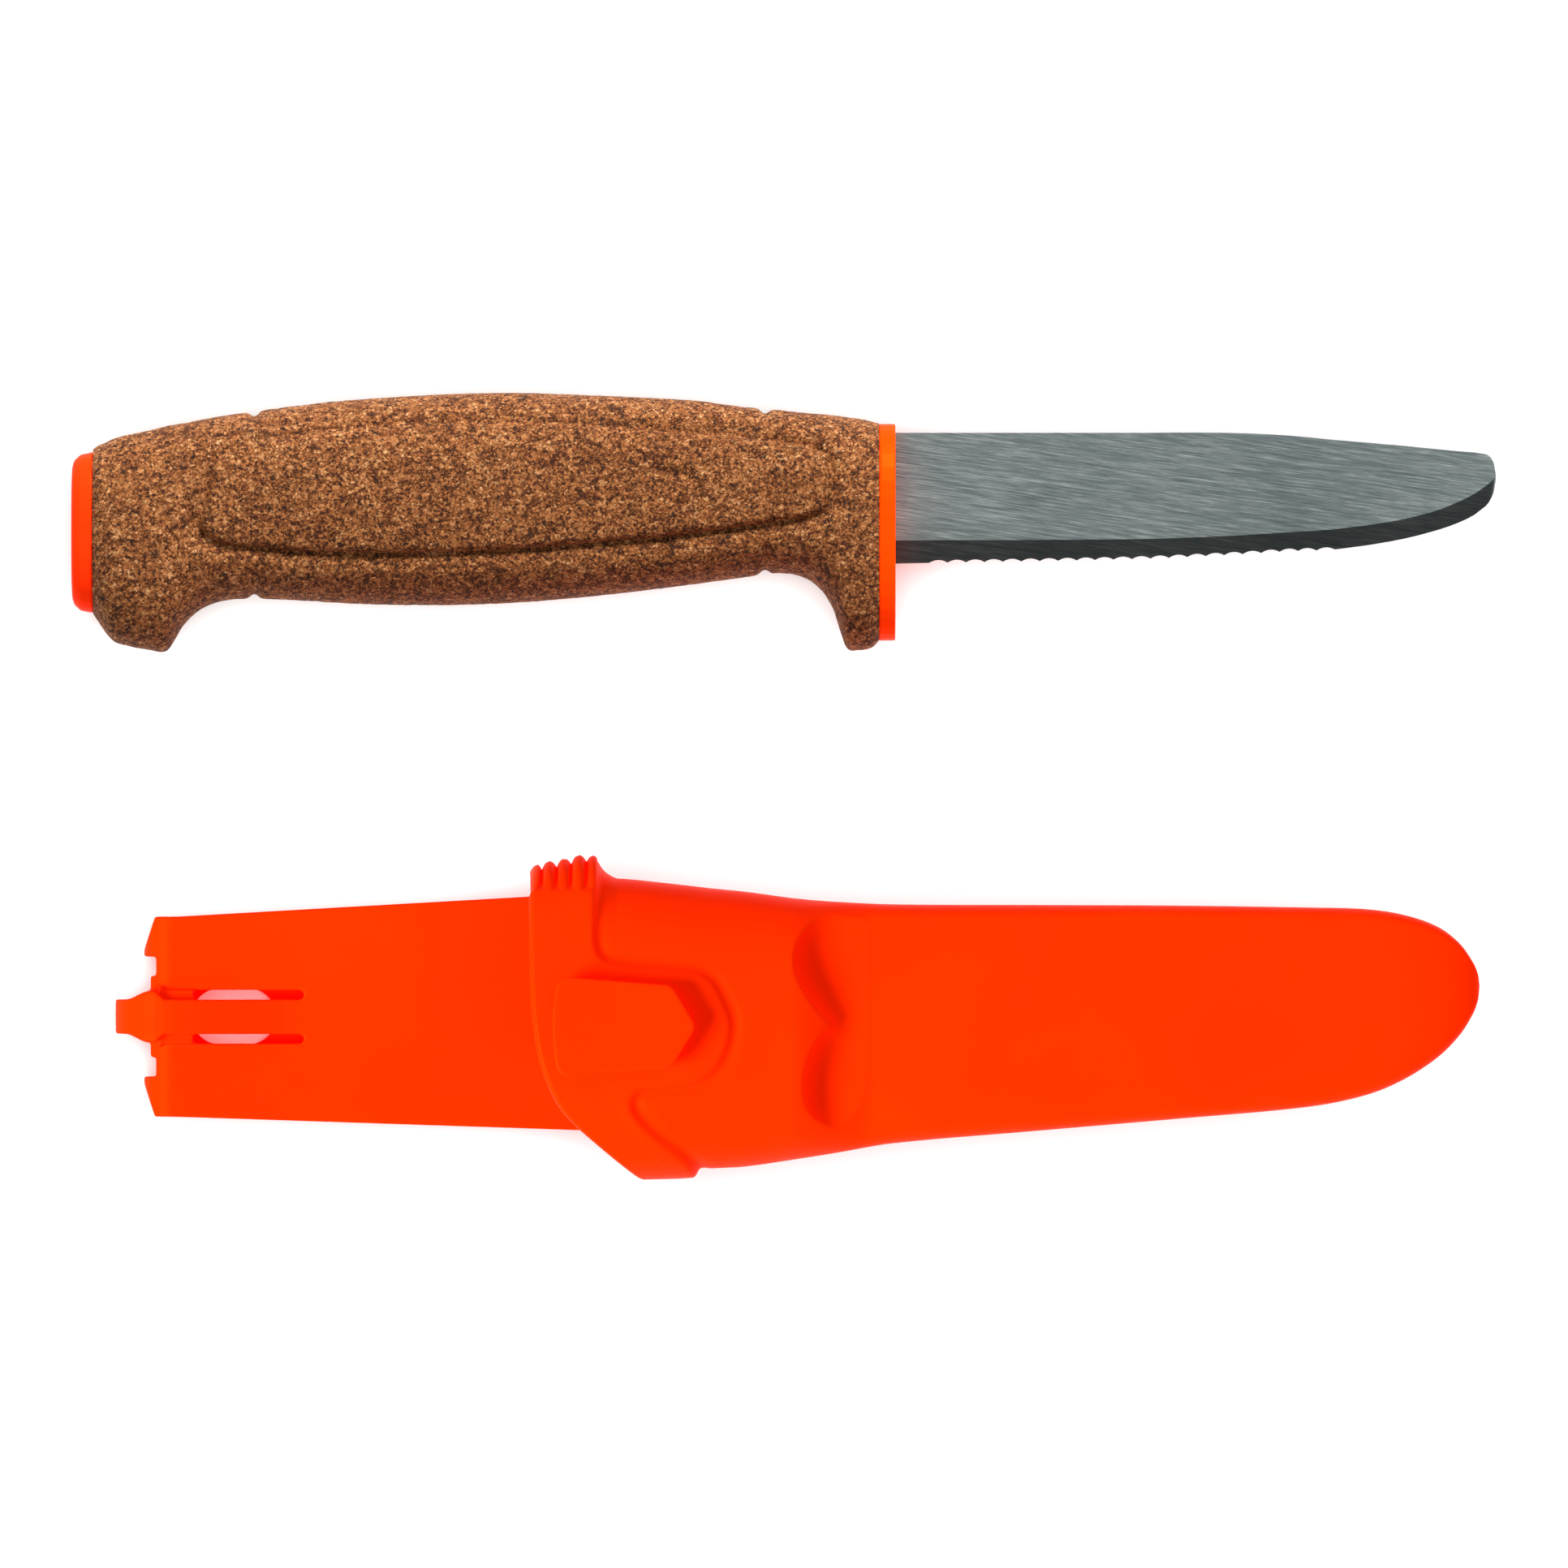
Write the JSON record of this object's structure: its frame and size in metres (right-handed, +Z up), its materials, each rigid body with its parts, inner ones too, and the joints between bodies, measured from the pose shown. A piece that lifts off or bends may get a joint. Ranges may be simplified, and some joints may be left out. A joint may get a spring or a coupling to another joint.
{
  "type": "rigging knife",
  "caption": "Fixed-blade rigging knife with a cork grip and a toothed, round-nosed blade, lying beside its moulded belt sheath with a spring clip.",
  "frame": {"origin": "on the surface that the set lies on, under the middle of its box", "axes": "+X from the end cap towards the blade's tip, +Y from the edge to the spine, +Z up out of the surface"},
  "size_m": [0.2276, 0.1249, 0.0442],
  "materials": {
    "blade_steel": "fine diagonal brushing",
    "cork": "pressed cork granules",
    "orange_trim": "satin moulded",
    "orange_sheath": "fine moulded grain"
  },
  "bodies": {
    "sheath": {"sheath_shell": "orange_sheath", "belt_strap": "orange_sheath", "shield_button": "orange_sheath"},
    "knife": {"blade": "blade_steel", "handle_core": "orange_trim", "cork_grip": "cork", "end_cap": "orange_trim"},
    "leaf": {"clip_leaf": "orange_sheath"}
  },
  "joints": [
    {"name": "knife_slide", "type": "slide", "parent": "sheath", "child": "knife", "axis": [-0.9495, -0.3102, 0.0483], "range_m": [0, 0.2528]},
    {"name": "leaf_flex", "type": "hinge", "parent": "sheath", "child": "leaf", "pos_m": [-0.0976, -0.03725, 0.0011], "axis": [0, 1, 0], "range_deg": [0, 12], "stiffness_Nm_per_rad": 6}
  ]
}
